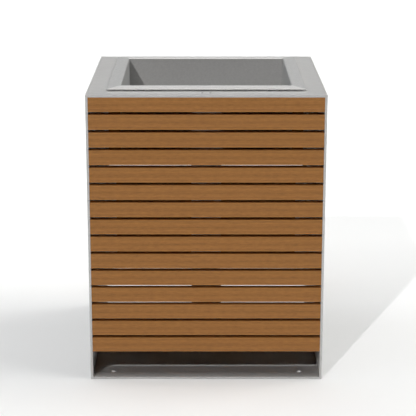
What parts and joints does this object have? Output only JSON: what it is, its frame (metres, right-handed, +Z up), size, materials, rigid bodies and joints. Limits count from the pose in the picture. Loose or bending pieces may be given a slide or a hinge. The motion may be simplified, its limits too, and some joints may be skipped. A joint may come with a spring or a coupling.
{
  "type": "litter bin",
  "caption": "Square litter bin with a steel portal frame, horizontal timber slats, a lockable slatted rear door and a lift-out litter container in the open top.",
  "frame": {"origin": "on the ground, at the centre of the footprint", "axes": "+Z up, -Y towards the fixed front slats, +Y towards the service door, +X to the right as seen from the front"},
  "size_m": [0.6, 0.6, 0.7595],
  "materials": {
    "portal_steel": "fine-grained light grey, matt",
    "inner_steel": "galvanised grey, matt",
    "container_steel": "satin sheet steel",
    "timber": "oiled hardwood, straight horizontal grain",
    "fasteners": "zinc plated",
    "pin_steel": "turned stainless steel",
    "nylon": "natural nylon",
    "lock_chrome": "plated zinc casting",
    "lock_cam_steel": "zinc plated",
    "rubber": "black, matt"
  },
  "bodies": {
    "frame": {"side_plate_left": "portal_steel", "side_plate_right": "portal_steel", "top_plate": "portal_steel", "base_strip_front": "portal_steel", "base_strip_rear": "portal_steel", "front_slat_01": "timber", "front_slat_02": "timber", "front_slat_03": "timber", "front_slat_04": "timber", "front_slat_05": "timber", "front_slat_06": "timber", "front_slat_07": "timber", "front_slat_08": "timber", "front_slat_09": "timber", "front_slat_10": "timber", "front_slat_11": "timber", "front_slat_12": "timber", "front_slat_13": "timber", "front_slat_14": "timber", "front_slat_15": "timber", "front_angle_left": "inner_steel", "front_angle_right": "inner_steel", "front_strap": "inner_steel", "front_slat_screws": "fasteners", "strap_rivets": "fasteners", "hinge_bracket_top": "inner_steel", "hinge_bracket_bottom": "inner_steel", "hinge_pins": "pin_steel", "hinge_washers": "nylon", "lock_strike": "inner_steel", "container_buffers": "rubber"},
    "service_door": {"door_slat_01": "timber", "door_slat_02": "timber", "door_slat_03": "timber", "door_slat_04": "timber", "door_slat_05": "timber", "door_slat_06": "timber", "door_slat_07": "timber", "door_slat_08": "timber", "door_slat_09": "timber", "door_slat_10": "timber", "door_slat_11": "timber", "door_slat_12": "timber", "door_slat_13": "timber", "door_slat_14": "timber", "door_slat_15": "timber", "door_stile_left": "inner_steel", "door_stile_right": "inner_steel", "door_strap": "inner_steel", "door_cleat_left": "inner_steel", "door_cleat_right": "inner_steel", "door_slat_screws": "fasteners", "lock_body": "lock_chrome"},
    "lock": {"lock_cam": "lock_cam_steel"},
    "container": {"container_front": "container_steel", "container_rear": "container_steel", "container_left": "container_steel", "container_right": "container_steel", "container_floor": "container_steel"}
  },
  "joints": [
    {"name": "door_hinge", "type": "hinge", "parent": "frame", "child": "service_door", "pos_m": [-0.282, 0.2925, 0.4], "axis": [0, 0, 1], "range_deg": [0, 105]},
    {"name": "lock_turn", "type": "hinge", "parent": "service_door", "child": "lock", "pos_m": [0.262, 0.28, 0.4109], "axis": [0, -1, 0], "range_deg": [0, 90]},
    {"name": "container_lift", "type": "slide", "parent": "frame", "child": "container", "axis": [0, 0, 1], "range_m": [0, 0.2]}
  ]
}
